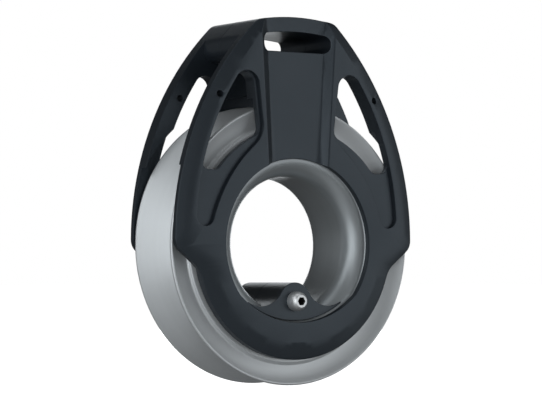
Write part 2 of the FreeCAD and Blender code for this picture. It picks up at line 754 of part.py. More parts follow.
def cut_head_screw_holes(body, front):
    """Blind tapped holes in the front half, and clear holes with sunk seats in the rear one."""
    shanks = new_sketch(body, "HeadScrewHoles", "XZ_Plane")
    play = size.fit if front else size.screw_play
    for x in (size.head_screw_x, -size.head_screw_x):
        add_circle(shanks, size.head_screw_radius + play, (x, size.head_screw_z))
    depth = size.head_grip + size.head_screw_radius if front else size.cheek_face
    pocket(body, shanks, "HeadScrewHoles", depth, True)
    if not front:
        caps = new_sketch(body, "HeadScrewSeats", "XZ_Plane", size.head_seat)
        for x in (size.head_screw_x, -size.head_screw_x):
            add_circle(caps, size.head_cap_radius + size.screw_play, (x, size.head_screw_z))
        pocket(body, caps, "HeadScrewSeats", size.cheek_face - size.head_seat, True)


def root(length):
    return Size(math.sqrt(length.value), f"sqrt({length.text})")


def sine(angle):
    return Size(math.sin(math.radians(angle.value)), f"sin({angle.text})")


def cosine(angle):
    return Size(math.cos(math.radians(angle.value)), f"cos({angle.text})")


def flare_end(play=0.0):
    """Where a flare of the bore reaches its mouth's radius, and the same moved inwards."""
    reach = size.flare_radius + play
    drop = size.hub_bore + size.flare_radius - size.flare_mouth
    return size.bore_land + root(reach * reach - drop * drop)


def make_hub():
    """The fixed ring: a bore that flares at both mouths, a roller track and two spigots."""
    body = new_body("hub")
    sketch = new_sketch(body, "HubProfile", "XY_Plane")
    bore, land, end = size.hub_bore, size.bore_land, size.hub_end
    steps = [(size.race_radius, size.race_half), (size.hub_collar, size.race_half),
             (size.hub_collar, size.boss_inner), (size.spigot_radius, size.boss_inner),
             (size.spigot_radius, end), (size.mouth_edge, end),
             (size.flare_mouth, flare_end(), size.flare_radius), (bore, land)]
    turned = [(bore, -land, size.flare_radius), (size.flare_mouth, -flare_end()),
              (size.mouth_edge, -end), (size.spigot_radius, -end),
              (size.spigot_radius, -size.boss_inner), (size.hub_collar, -size.boss_inner),
              (size.hub_collar, -size.race_half), (size.race_radius, -size.race_half)]
    add_chain(sketch, steps + turned)
    revolve(body, sketch, "Hub")
    return body


def make_sheave():
    """The grooved ring, with dished sides, a lip and a counterbore for each thrust ring."""
    body = new_body("sheave")
    sketch = new_sketch(body, "SheaveProfile", "XY_Plane")
    bore, counter = sheave_bore(), size.ring_outer + size.ring_play
    floor = size.ring_face - size.ring_play
    crest, reach, chip = size.sheave_radius, size.crest_reach, size.crest_break
    slope = size.groove_angle
    round_centre = size.groove_radius + size.groove_round
    bottom = (round_centre - size.groove_round * sine(slope), size.groove_round * cosine(slope))
    flank = bottom[1] + (crest - bottom[0]) * (sine(slope) / cosine(slope))
    lip, lip_round = size.lip_radius, size.lip_round
    side = [(bore, floor), (counter, floor), (counter, size.lip_reach),
            (lip - lip_round, size.lip_reach), (lip, size.lip_reach - lip_round),
            (size.dish_start, size.dish_reach), (size.dish_end, reach),
            (crest - chip, reach), (crest, reach - chip), (crest, flank), bottom]
    upper = list(side)
    upper[3] = upper[3] + (-lip_round,)
    upper[5] = upper[5] + (size.dish_radius,)
    upper[-1] = upper[-1] + (size.groove_round,)
    lower = [(place[0], -place[1]) for place in reversed(side)]
    lower[-5] = lower[-5] + (-lip_round,)
    lower[4] = lower[4] + (size.dish_radius,)
    add_chain(sketch, upper + lower)
    revolve(body, sketch, "Sheave")
    return body


def make_cage():
    """The ring that keeps the rollers apart, with a window for each."""
    body = new_body("roller_cage")
    sketch = new_sketch(body, "CageProfile", "XY_Plane")
    inner = size.hub_collar + size.cage_play
    outer = inner + size.cage_wall
    half = size.cage_half
    add_chain(sketch, [(inner, -half), (outer, -half), (outer, half), (inner, half)])
    revolve(body, sketch, "Cage")
    window = new_sketch(body, "CageWindow", "YZ_Plane")
    width = size.roller_radius + size.cage_play
    length = size.roller_length / 2 + size.cage_play
    add_chain(window, [(-length, -width), (length, -width), (length, width), (-length, width)])
    cut = pocket(body, window, "CageWindow", outer + size.cage_wall, True)
    pattern = body.newObject("PartDesign::PolarPattern", "CageWindows")
    pattern.Originals = [cut]
    pattern.Axis = (origin_part(body, "Y_Axis"), [""])
    pattern.Angle = 360
    bind(pattern, "Occurrences", size.roller_count)
    body.Tip = pattern
    return body


def make_rollers():
    """The rollers, each on its own axis round the hub."""
    made = []
    count = round(size.roller_count.value)
    pitch = size.race_radius + size.roller_play + size.roller_radius
    for number in range(count):
        label = f"roller_{number + 1:02d}"
        rod = doc.addObject("Part::Cylinder", "Rod_" + label)
        bind(rod, "Radius", size.roller_radius)
        bind(rod, "Height", size.roller_length)
        doc.recompute()
        roller = doc.addObject("Part::Chamfer", "Roller_" + label)
        roller.Label = label
        roller.Base = rod
        edge = size.roller_edge.value
        roller.Edges = [(1, edge, edge), (3, edge, edge)]
        turn = f"360 * {number} / Sizes.roller_count"
        roller.Placement = FreeCAD.Placement(Vector(0, 0, 0),
                                             FreeCAD.Rotation(Vector(1, 0, 0), -90))
        roller.setExpression("Placement.Base.x", f"{pitch.text} * cos({turn})")
        bind(roller, "Placement.Base.y", -size.roller_length / 2)
        roller.setExpression("Placement.Base.z", f"{pitch.text} * sin({turn})")
        made.append(roller)
    return made


def make_thrust_ring(label, front):
    """A flat bearing ring in its seat in a cheek, against the sheave's side."""
    body = new_body(label)
    sketch = new_sketch(body, "RingProfile", "XY_Plane")
    seat = size.boss_inner + size.ring_seat - size.fit
    add_chain(sketch, [(size.ring_inner, -seat), (size.ring_outer, -seat),
                       (size.ring_outer, -size.ring_face), (size.ring_inner, -size.ring_face)])
    revolve(body, sketch, "Ring")
    if not front:
        turn_to_rear(body)
    return body


def lug_outline():
    """A lug's face: a round top, a hollow each side of it, thin ends and a curved bottom."""
    reach = size.hollow_radius.value + size.post_radius.value
    rise = math.sqrt(reach ** 2 - size.hollow_x.value ** 2)
    bottom = Round(0, size.mouth_floor_height, size.mouth_floor_radius - size.lug_gap)
    end = Straight(size.lug_reach, 0, 90)
    right = Round(size.hollow_x, size.post_z.value + rise, size.hollow_radius, True)
    top = Round(0, size.post_z, size.post_radius)
    tip = near(size.lug_reach, size.post_z)
    shoulder = near(size.post_radius, size.post_z + size.post_radius)
    half = [(size.lug_tip, tip), (size.lug_tip, tip), (0, shoulder)]
    other = [(rounding, (-place[0], place[1])) for rounding, place in reversed(half)]
    sides = [bottom, end, right, top, right.mirrored(), Straight(-size.lug_reach, 0, -90)]
    return rounded_outline(sides, half + other)


def make_lug(label, front):
    """Half of the post across the bore, with a flange that fits the hub's flared mouth."""
    body = new_body(label)
    face = new_sketch(body, "LugFace", "XZ_Plane")
    add_outline(face, lug_outline())
    pad(body, face, "LugBlock", size.lug_face)

    around = new_sketch(body, "BoreFit", "XY_Plane")
    inner, outer = size.hub_bore - size.bore_play, size.mouth_floor_radius
    end = size.cheek_face
    add_chain(around, [(inner, 0), (outer, 0), (outer, -end), (size.flare_mouth, -end),
                       (size.flare_mouth, -flare_end(size.bore_play),
                        -(size.flare_radius + size.bore_play)), (inner, -size.bore_land)])
    doc.recompute()
    before = body.Shape.Volume
    cut = body.newObject("PartDesign::Groove", "BoreFit_" + label)
    cut.Profile = around
    cut.ReferenceAxis = (around, ["V_Axis"])
    cut.Angle = 360
    doc.recompute()
    if not body.Shape.Volume < before:
        raise RuntimeError("the bore cuts nothing from " + label)

    hole = new_sketch(body, "ScrewHole", "XZ_Plane")
    play = size.screw_play if front else size.fit
    add_circle(hole, size.post_screw_radius + play, (0.0, size.post_z))
    pocket(body, hole, "ScrewHole", size.lug_face, True)
    if not front:
        turn_to_rear(body)
    return body


def add_key(body, width, depth, top, towards_normal):
    """A hexagon socket, cut down from a flat top."""
    sketch = new_sketch(body, "Key", "XZ_Plane", top)
    corner = width / 2 / cosine(Size.of(30))
    turns = [Size.of(60 * number) for number in range(6)]
    add_chain(sketch, [(corner * cosine(turn), corner * sine(turn)) for turn in turns])
    pocket(body, sketch, "Key", depth, towards_normal)


def make_post_screw():
    """The button-head screw that pulls the two lugs together."""
    body = new_body("post_screw")
    sketch = new_sketch(body, "ScrewProfile", "XY_Plane")
    seat, top = size.lug_face, size.lug_face + size.button_height
    shank, end, point = size.post_screw_radius, size.post_screw_end, size.screw_edge
    rim = seat + size.button_rim
    add_chain(sketch, [(0, end), (0, -top), (size.button_flat, -top, size.button_radius),
                       (size.button_radius, -rim), (size.button_radius, -seat),
                       (shank, -seat), (shank, end - point), (shank - point, end)])
    revolve(body, sketch, "Screw")
    add_key(body, size.button_key, size.button_key_depth, top, False)
    bind(body, "Placement.Base.z", size.post_z)
    return body


def make_head_screw(label, side):
    """A socket cap screw that joins the two halves of the head, put in from the rear."""
    body = new_body(label)
    sketch = new_sketch(body, "ScrewProfile", "XY_Plane")
    seat, top = size.head_seat, size.head_seat + size.head_cap_height
    shank, end, edge = size.head_screw_radius, size.head_grip, size.screw_edge
    add_chain(sketch, [(0, -end), (shank - edge, -end), (shank, edge - end), (shank, seat),
                       (size.head_cap_radius, seat), (size.head_cap_radius, top - edge),
                       (size.head_cap_radius - edge, top), (0, top)])
    revolve(body, sketch, "Screw")
    add_key(body, size.head_key, size.head_key_depth, -top, True)
    bind(body, "Placement.Base.x", side * size.head_screw_x)
    bind(body, "Placement.Base.z", size.head_screw_z)
    return body


def make_all():
    made = [make_cheek("front_cheek", True), make_cheek("rear_cheek", False), make_hub(),
            make_sheave(), make_cage()]
    made += make_rollers()
    made += [make_thrust_ring("front_thrust_ring", True),
             make_thrust_ring("rear_thrust_ring", False),
             make_lug("front_lug", True), make_lug("rear_lug", False), make_post_screw(),
             make_head_screw("left_head_screw", -1), make_head_screw("right_head_screw", 1)]
    return made


def write_all(made):
    """Check every object of the document and each finished shape, then write the shapes."""
    doc.recompute()
    for item in doc.Objects:
        if "Invalid" in item.State or "Error" in item.State:
            raise RuntimeError(f"{item.Name} failed: {item.State}")
    for item in made:
        if item.Shape.isNull() or not item.Shape.isValid():
            raise RuntimeError(item.Label + " has no valid shape")
        if len(item.Shape.Solids) != 1:
            raise RuntimeError(item.Label + " is not one solid")
    os.makedirs("parts", exist_ok=True)
    for item in made:
        item.Shape.exportStep(f"parts/{item.Label}.step")
        box = item.Shape.BoundBox
        print(f"{item.Label}: {item.Shape.Volume:.1f} mm3, "
              f"x {box.XMin:.2f} to {box.XMax:.2f}, y {box.YMin:.2f} to {box.YMax:.2f}, "
              f"z {box.ZMin:.2f} to {box.ZMax:.2f}")


write_all(make_all())
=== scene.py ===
"""An open-centre sheave block, dressed and lit in a plain white studio.

The cheeks and the post are the frame's own plates with softened edges. The sheave, the hub, the
rollers and the screws are turned from profiles by one geometry tree. The roller cage and the
thrust rings are the frame's own, with a finish. Profiles are in millimetres, meshes in metres.
"""
import math

import bmesh
import bpy
from bpy.props import FloatProperty, FloatVectorProperty, IntProperty, PointerProperty
from mathutils import Matrix, Vector


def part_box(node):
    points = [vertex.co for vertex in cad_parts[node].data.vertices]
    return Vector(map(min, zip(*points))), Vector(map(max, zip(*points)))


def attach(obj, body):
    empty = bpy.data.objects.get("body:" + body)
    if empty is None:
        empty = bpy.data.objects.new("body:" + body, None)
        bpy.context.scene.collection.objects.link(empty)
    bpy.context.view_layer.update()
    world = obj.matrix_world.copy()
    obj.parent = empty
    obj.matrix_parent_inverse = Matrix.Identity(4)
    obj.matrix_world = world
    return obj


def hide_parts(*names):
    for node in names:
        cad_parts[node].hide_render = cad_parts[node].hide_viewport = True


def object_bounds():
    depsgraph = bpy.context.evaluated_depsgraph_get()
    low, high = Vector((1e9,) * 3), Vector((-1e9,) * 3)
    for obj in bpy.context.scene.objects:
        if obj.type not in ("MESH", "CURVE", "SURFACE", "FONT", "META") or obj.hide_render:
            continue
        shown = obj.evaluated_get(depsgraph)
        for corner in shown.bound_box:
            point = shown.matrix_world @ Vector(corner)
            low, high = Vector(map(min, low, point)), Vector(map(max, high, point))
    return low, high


bl_info = {
    "name": "Open-Centre Sheave Block",
    "version": (1, 0, 0),
    "blender": (4, 5, 0),
    "location": "View3D > Sidebar > Sheave Block",
    "description": "Dresses an open-centre sheave block and lights it in a white studio",
    "category": "Add Mesh",
}

MM = 0.001
WELD = 1e-6
SHARP_EDGE = math.radians(32)
PLATE_CORNER = math.radians(24)
PROFILE_CORNER = math.radians(20)
KNURL_TEETH = 36

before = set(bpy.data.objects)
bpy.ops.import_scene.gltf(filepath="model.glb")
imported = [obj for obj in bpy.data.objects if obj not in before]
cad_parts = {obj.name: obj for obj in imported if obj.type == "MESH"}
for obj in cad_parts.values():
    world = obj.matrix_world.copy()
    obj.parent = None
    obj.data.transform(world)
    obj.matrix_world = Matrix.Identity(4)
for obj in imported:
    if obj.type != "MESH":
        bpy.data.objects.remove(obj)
CAD_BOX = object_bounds()
SHEAVE_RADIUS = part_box("sheave")[1].z / MM


def colour_property(name, description, default):
    return FloatVectorProperty(name=name, description=description, subtype="COLOR", size=3,
                               default=default, min=0.0, max=1.0)


def length_property(name, description, default, least=0.0):
    return FloatProperty(name=name, description=description, unit="LENGTH", default=default,
                         min=least)


def power_property(name, description, default):
    return FloatProperty(name=name, description=description, unit="POWER", default=default,
                         min=0.0)


class SheaveBlockFinish(bpy.types.PropertyGroup):
    """Colours and surface marks."""
    cheek: colour_property("Cheeks", "Anodised cheek plates", (0.008, 0.011, 0.015))
    post: colour_property("Post", "Anodised post across the bore", (0.006, 0.008, 0.010))
    sheave: colour_property("Sheave", "Hard-anodised sheave", (0.66, 0.68, 0.695))
    hub: colour_property("Hub", "Hard-anodised hub", (0.38, 0.405, 0.42))
    steel: colour_property("Screws", "Stainless screws", (0.74, 0.75, 0.76))
    roller: colour_property("Rollers", "Bearing rollers", (0.14, 0.13, 0.10))
    cage: colour_property("Cage", "Roller cage", (0.08, 0.08, 0.085))
    ring: colour_property("Thrust rings", "Side thrust rings", (0.75, 0.74, 0.70))
    grain: length_property("Grain", "Size of the blasted grain", 0.00035, 0.00001)
    turning: length_property("Turning marks", "Spacing of the lathe's marks", 0.0006, 0.00001)


class SheaveBlockShapes(bpy.types.PropertyGroup):
    """Fineness and small edges."""
    steps: IntProperty(name="Steps", description="Steps round a large turned ring", default=288,
                       min=24)
    small_steps: IntProperty(name="Small steps", description="Steps round a roller or a screw",
                             default=48, min=12)
    plate_edge: length_property("Plate edge", "Width of a plate's broken edges", 0.00035)
    turned_edge: length_property("Turned edge", "Width of a turned piece's edges", 0.0003)


class SheaveBlockStudio(bpy.types.PropertyGroup):
    """Camera, floor and light."""
    azimuth: FloatProperty(name="Azimuth", description="Camera's turn round the block",
                           subtype="ANGLE", default=math.radians(-33.149))
    elevation: FloatProperty(name="Elevation", description="Camera's height as an angle",
                             subtype="ANGLE", default=math.radians(-1.869))
    distance: length_property("Distance", "Camera to the aim", 1.34688, 0.1)
    lens: FloatProperty(name="Lens", description="Focal length in millimetres", unit="CAMERA",
                        default=166.05, min=1.0)
    aim: FloatVectorProperty(name="Aim", description="Point that the camera looks at",
                             subtype="TRANSLATION", default=(-0.001095, 0.0, 0.024051))
    left: power_property("Left light", "Power of the large light on the left", 5.9)
    right: power_property("Right light", "Power of the large light on the right", 4.9)
    upper: power_property("Upper light", "Power of the light above on the left", 3.4)
    front: power_property("Front light", "Power of the light beside the camera", 0.8)
    low: power_property("Low light", "Power of the light that fills from below", 1.9)
    rear: power_property("Rear light", "Power of the light behind on the left", 0.8)
    back: power_property("Back light", "Power of the light behind on the right", 10.0)
    top: power_property("Top light", "Power of the light overhead", 3.0)
    room: FloatProperty(name="Room", description="Strength of the room's own light",
                        default=0.06, min=0.0)


# Materials. Noise scales are in waves to the metre.

PLATE_CLOUDS, ALLOY_CLOUDS, STEEL_CLOUDS, POLYMER_FLOW = 28.0, 32.0, 180.0, 60.0
ALLOY_GRAIN, STEEL_GRAIN, POLYMER_GRAIN = 3200.0, 2500.0, 1800.0

class Nodes:
    """A short way to write a node tree."""

    def __init__(self, tree):
        self.tree = tree

    def add(self, kind, inputs=None, **settings):
        node = self.tree.nodes.new(kind)
        for name, value in settings.items():
            setattr(node, name, value)
        for key, value in (inputs or {}).items():
            self.feed(node.inputs[key], value)
        return node

    def feed(self, socket, value):
        if isinstance(value, bpy.types.NodeSocket):
            self.tree.links.new(value, socket)
        elif isinstance(value, bpy.types.Node):
            self.tree.links.new(value.outputs[0], socket)
        else:
            socket.default_value = value

    def math(self, operation, *values, kind="ShaderNodeMath"):
        node = self.add(kind, operation=operation)
        for socket, value in zip(node.inputs, values):
            self.feed(socket, value)
        return node.outputs[0]


def new_material(name):
    material = bpy.data.materials.new(name)
    material.use_nodes = True
    material.node_tree.nodes.clear()
    return material, Nodes(material.node_tree)


def shaded(material, nodes, colour, roughness, normal=None, **fixed):
    """Ends a material in one surface shader."""
    shader = nodes.add("ShaderNodeBsdfPrincipled",
                       {"Base Color": colour, "Roughness": roughness})
    if normal is not None:
        nodes.feed(shader.inputs["Normal"], normal)
    for name, value in fixed.items():
        shader.inputs[name.replace("_", " ")].default_value = value
    out = nodes.add("ShaderNodeOutputMaterial", {"Surface": shader})
    out.is_active_output = True
    return material


def tinted(nodes, colour, factor, low, high):
    """The colour made darker or lighter by a factor that runs over a pattern."""
    tones = [tuple(channel * share for channel in colour) + (1.0,) for share in (low, high)]
    mix = nodes.add("ShaderNodeMix", data_type="RGBA")
    # A colour mix has its factor at 0, its colours at 6 and 7, and its result at 2
    for socket, value in zip((0, 6, 7), (factor, *tones)):
        nodes.feed(mix.inputs[socket], value)
    return mix.outputs[2]


def spread(nodes, factor, low, high):
    """A factor from 0 to 1, brought to the range from low to high."""
    return nodes.add("ShaderNodeMapRange", {"Value": factor, "To Min": low,
                                            "To Max": high}).outputs[0]


def object_place(nodes):
    return nodes.add("ShaderNodeTexCoord").outputs["Object"]


def noise(nodes, place, scale, detail, **more):
    return nodes.add("ShaderNodeTexNoise", {"Vector": place, "Scale": scale, "Detail": detail,
                                            **more}).outputs[0]


def bumped(nodes, height, strength, distance):
    return nodes.add("ShaderNodeBump", {"Height": height, "Strength": strength,
                                        "Distance": distance}).outputs[0]


def anodised_plate(name, colour, grain, roughness):
    """Blasted and anodised plate: fine grain, soft clouds in its gloss, faint pores."""
    material, nodes = new_material(name)
    place = object_place(nodes)
    fine = noise(nodes, place, 1 / grain, detail=3.0)
    cloud = noise(nodes, place, PLATE_CLOUDS, detail=4.0)
    pores = nodes.add("ShaderNodeTexVoronoi", {"Vector": place, "Scale": 0.35 / grain})
    height = nodes.math("MULTIPLY_ADD", pores.outputs["Distance"], 0.35, fine)
    normal = bumped(nodes, height, strength=0.22, distance=grain * 0.3)
    gloss = spread(nodes, cloud, roughness - 0.05, roughness + 0.07)
    mixed = nodes.math("MULTIPLY_ADD", fine, 0.5, nodes.math("MULTIPLY", cloud, 0.5))
    tone = tinted(nodes, colour, mixed, low=0.86, high=1.16)
    return shaded(material, nodes, tone, gloss, normal, IOR=1.68,
                  Specular_Tint=(0.78, 0.89, 1.0, 1.0))


def turned_alloy(name, colour, spacing, roughness, metallic):
    """Turned and hard-anodised alloy: fine rings round the axis, streaks and clouds in its tone
    and gloss.
    """
    material, nodes = new_material(name)
    place = object_place(nodes)
    parts = nodes.add("ShaderNodeSeparateXYZ", {0: place})
    across = nodes.math("POWER", parts.outputs[0], 2.0)
    up = nodes.math("POWER", parts.outputs[2], 2.0)
    radius = nodes.math("SQRT", nodes.math("ADD", across, up))
    ring = nodes.add("ShaderNodeCombineXYZ", {0: radius, 1: parts.outputs[1], 2: 0.0})
    marks = noise(nodes, ring, 1 / spacing, detail=3.0, Roughness=0.6)
    bands = noise(nodes, ring, 0.08 / spacing, detail=3.0)
    cloud = noise(nodes, place, ALLOY_CLOUDS, detail=5.0)
    fine = noise(nodes, place, ALLOY_GRAIN, detail=2.0)
    height = nodes.math("MULTIPLY_ADD", fine, 0.4, marks)
    normal = bumped(nodes, height, strength=0.25, distance=spacing * 0.08)
    mixed = nodes.math("MULTIPLY_ADD", cloud, 0.45, nodes.math("MULTIPLY", bands, 0.55))
    gloss = spread(nodes, mixed, roughness - 0.1, roughness + 0.12)
    tone = tinted(nodes, colour, mixed, low=0.84, high=1.14)
    return shaded(material, nodes, tone, gloss, normal, Metallic=metallic)


def polished_steel(name, colour):
    """Stainless steel of a small screw: bright, with faint marks; its recess is darkened nearly
    to black as painted shade, and made rough.
    """
    material, nodes = new_material(name)
    place = object_place(nodes)
    recess = nodes.add("ShaderNodeAttribute", attribute_name="recess").outputs["Fac"]
    fine = noise(nodes, place, STEEL_GRAIN, detail=2.0)
    cloud = noise(nodes, place, STEEL_CLOUDS, detail=3.0)
    normal = bumped(nodes, fine, strength=0.12, distance=0.00002)
    gloss = nodes.math("MAXIMUM", spread(nodes, cloud, 0.3, 0.38), recess)
    # Painted shade: in the recess the steel's colour falls to 3 per cent, darkening the socket
    # where shade falls.
    painted_shade = spread(nodes, recess, 1.0, 0.03)
    tone = nodes.add("ShaderNodeVectorMath", operation="SCALE")
    nodes.feed(tone.inputs[0], tinted(nodes, colour, cloud, low=0.9, high=1.05))
    nodes.feed(tone.inputs["Scale"], painted_shade)
    return shaded(material, nodes, tone, gloss, normal, Metallic=0.7)


def moulded(name, colour, roughness):
    """Bearing polymer with a faint flow pattern."""
    material, nodes = new_material(name)
    place = object_place(nodes)
    flow = noise(nodes, place, POLYMER_FLOW, detail=4.0, Distortion=1.2)
    fine = noise(nodes, place, POLYMER_GRAIN, detail=2.0)
    normal = bumped(nodes, fine, strength=0.15, distance=0.00004)
    gloss = spread(nodes, flow, roughness - 0.06, roughness + 0.06)
    tone = tinted(nodes, colour, flow, low=0.88, high=1.1)
    return shaded(material, nodes, tone, gloss, normal, IOR=1.5)


def finishes():
    """The finish of each slot, made once. Its name differs from the slot's, because the frame
    brings a plain material under that one."""
    finish = bpy.context.scene.sheave_block_finish
    # The maker, then its colour, grain or spacing, roughness and metallic share
    makers = {
        "cheek_black": (anodised_plate, finish.cheek, finish.grain, 0.42),
        "lug_black": (anodised_plate, finish.post, finish.grain, 0.38),
        "sheave_alloy": (turned_alloy, finish.sheave, finish.turning, 0.42, 0.5),
        "hub_alloy": (turned_alloy, finish.hub, finish.turning, 0.36, 0.6),
        "stainless": (polished_steel, finish.steel),
        "roller_polymer": (moulded, finish.roller, 0.3),
        "cage_polymer": (moulded, finish.cage, 0.5),
        "ring_polymer": (moulded, finish.ring, 0.5),
    }
    made = {}
    for slot, (make, *values) in makers.items():
        name = slot + "_finish"
        made[slot] = bpy.data.materials.get(name) or make(name, *values)
    return made


# Turned pieces

def arc(start, end, radius, parts):
    """Points of the short arc from start to end, its centre on the left of the way for a
    positive radius and on its right for a negative one. The end isn't among them."""
    middle = (start + end) / 2
    way = end - start
    rise = math.sqrt(max(radius * radius - way.length_squared / 4, 0.0))
    centre = middle + Vector((-way.y, way.x)).normalized() * math.copysign(rise, radius)
    first = start - centre
    sweep = first.angle_signed(end - centre)
    turns = [Matrix.Rotation(-sweep * number / parts, 2) for number in range(parts)]
    return [centre + turn @ first for turn in turns]


def outline(steps, closed, edge=0.0, parts=14):
    """A profile's points from (radius, place along the axis[, arc radius]) in millimetres."""
    corners = [Vector(step[:2]) for step in steps]
    points = []
    for number, step in enumerate(steps):
        last = number == len(steps) - 1
        if len(step) == 3 and not (last and not closed):
            points += arc(corners[number], corners[(number + 1) % len(corners)], step[2], parts)
        else:
            points.append(corners[number])
    return softened(points, closed, edge) if edge else points


def softened(points, closed, reach, parts=3):
    """The same profile with its sharp corners broken by small rounds."""
    made = []
    count = len(points)
    for number, point in enumerate(points):
        if not closed and number in (0, count - 1):
            made.append(point)
            continue
        before, after = points[number - 1] - point, points[(number + 1) % count] - point
        if math.pi - before.angle(after) < PROFILE_CORNER:
            made.append(point)
            continue
        cut = min(reach, before.length * 0.45, after.length * 0.45)
        start, end = point + before.normalized() * cut, point + after.normalized() * cut
        for step in range(parts + 1):
            share = step / parts
            made.append(start * (1 - share) ** 2 + point * 2 * share * (1 - share)
                        + end * share ** 2)
    return made


def turning_tree():
    """The lathe: spins a profile round the Y axis, with flats, knurls and threads if asked, and
    marks the faces that lie in a recess, where the steel's material paints shade."""
    name = "Turned piece"
    if name in bpy.data.node_groups:
        return bpy.data.node_groups[name]
    tree = bpy.data.node_groups.new(name, "GeometryNodeTree")
    face = tree.interface
    face.new_socket("Profile", in_out="INPUT", socket_type="NodeSocketGeometry")
    for label, kind, value in (("Stations", "Int", 2), ("Steps", "Int", 64),
                               ("Knurl teeth", "Int", KNURL_TEETH),
                               ("Thread pitch", "Float", 0.001),
                               ("Centre", "Vector", (0, 0, 0)), ("Material", "Material", None)):
        socket = face.new_socket(label, in_out="INPUT", socket_type="NodeSocket" + kind)
        if value is not None:
            socket.default_value = value
    face.new_socket("Piece", in_out="OUTPUT", socket_type="NodeSocketGeometry")
    nodes = Nodes(tree)
    given = nodes.add("NodeGroupInput").outputs
    columns = nodes.math("ADD", given["Steps"], 1.0)
    grid = nodes.add("GeometryNodeMeshGrid", {"Size X": 1.0, "Size Y": 1.0,
                                              "Vertices X": columns,
                                              "Vertices Y": given["Stations"]})
    where = nodes.add("ShaderNodeSeparateXYZ", {0: nodes.add("GeometryNodeInputPosition")})
    turn = nodes.math("MULTIPLY", nodes.math("ADD", where.outputs[0], 0.5), 2 * math.pi)
    spaces = nodes.math("SUBTRACT", given["Stations"], 1.0)
    station = nodes.math("ROUND", nodes.math("MULTIPLY", nodes.math("ADD", where.outputs[1], 0.5),
                                             spaces))
    count = nodes.add("GeometryNodeAttributeDomainSize", {0: given["Profile"]})
    index = nodes.math("ADD", nodes.math("MODULO", station, count.outputs["Point Count"]), 0.25)
    spot = nodes.add("GeometryNodeSampleIndex", data_type="FLOAT_VECTOR")
    nodes.feed(spot.inputs["Geometry"], given["Profile"])
    nodes.feed(spot.inputs["Value"], nodes.add("GeometryNodeInputPosition"))
    nodes.feed(spot.inputs["Index"], index)
    place = nodes.add("ShaderNodeSeparateXYZ", {0: spot})
    radius, along = place.outputs[0], place.outputs[1]

    def sampled(name):
        named = nodes.add("GeometryNodeInputNamedAttribute", {"Name": name}, data_type="FLOAT")
        found = nodes.add("GeometryNodeSampleIndex", data_type="FLOAT")
        nodes.feed(found.inputs["Geometry"], given["Profile"])
        nodes.feed(found.inputs["Value"], named.outputs[0])
        nodes.feed(found.inputs["Index"], index)
        return found.outputs[0]

    flats = sampled("flats")
    sixth = math.pi / 3
    folded = nodes.math("SUBTRACT", nodes.math("MODULO", turn, sixth), sixth / 2)
    hexagon = nodes.math("DIVIDE", flats, nodes.math("COSINE", folded))
    is_flat = nodes.math("GREATER_THAN", flats, 0.0)
    radius = nodes.math("MULTIPLY_ADD", nodes.math("SUBTRACT", hexagon, radius), is_flat, radius)
    tooth = nodes.math("COSINE", nodes.math("MULTIPLY", turn, given["Knurl teeth"]))
    helix = nodes.math("DIVIDE", nodes.math("MULTIPLY", along, 2 * math.pi),
                       given["Thread pitch"])
    crest = nodes.math("COSINE", nodes.math("SUBTRACT", helix, turn))
    for depth, wave in ((sampled("knurl"), tooth), (sampled("thread"), crest)):
        low = nodes.math("MULTIPLY_ADD", wave, 0.5, 0.5)
        radius = nodes.math("SUBTRACT", radius, nodes.math("MULTIPLY", depth, low))
    across = nodes.math("MULTIPLY", radius, nodes.math("COSINE", turn))
    up = nodes.math("MULTIPLY", radius, nodes.math("SINE", turn))
    spun = nodes.add("ShaderNodeCombineXYZ", {0: across, 1: along, 2: up})
    moved = nodes.math("ADD", spun.outputs[0], given["Centre"], kind="ShaderNodeVectorMath")
    # The recess mark: the steel material paints shade where it is set.
    deep = nodes.math("GREATER_THAN", sampled("recess"), 0.0)
    marked = nodes.add("GeometryNodeStoreNamedAttribute", {"Geometry": grid, "Name": "recess"},
                       data_type="FLOAT", domain="POINT")
    nodes.feed(marked.inputs["Value"], deep)
    shaped = nodes.add("GeometryNodeSetPosition", {"Geometry": marked, "Position": moved})
    joined = nodes.add("GeometryNodeMergeByDistance", {"Geometry": shaped, "Distance": WELD})
    real = nodes.add("GeometryNodeRealizeInstances", {0: joined})
    dressed = nodes.add("GeometryNodeSetMaterial", {"Geometry": real,
                                                    "Material": given["Material"]})
    nodes.add("NodeGroupOutput", {0: dressed})
    return tree


def new_object(name, mesh):
    made = bpy.data.objects.new(name, mesh)
    bpy.context.scene.collection.objects.link(made)
    return made


def finish_mesh(mesh):
    """Outward normals and smooth shading that breaks at the sharp edges."""
    work = bmesh.new()
    work.from_mesh(mesh)
    bmesh.ops.recalc_face_normals(work, faces=work.faces)
    work.to_mesh(mesh)
    work.free()
    mesh.shade_smooth()
    mesh.set_sharp_from_angle(angle=SHARP_EDGE)


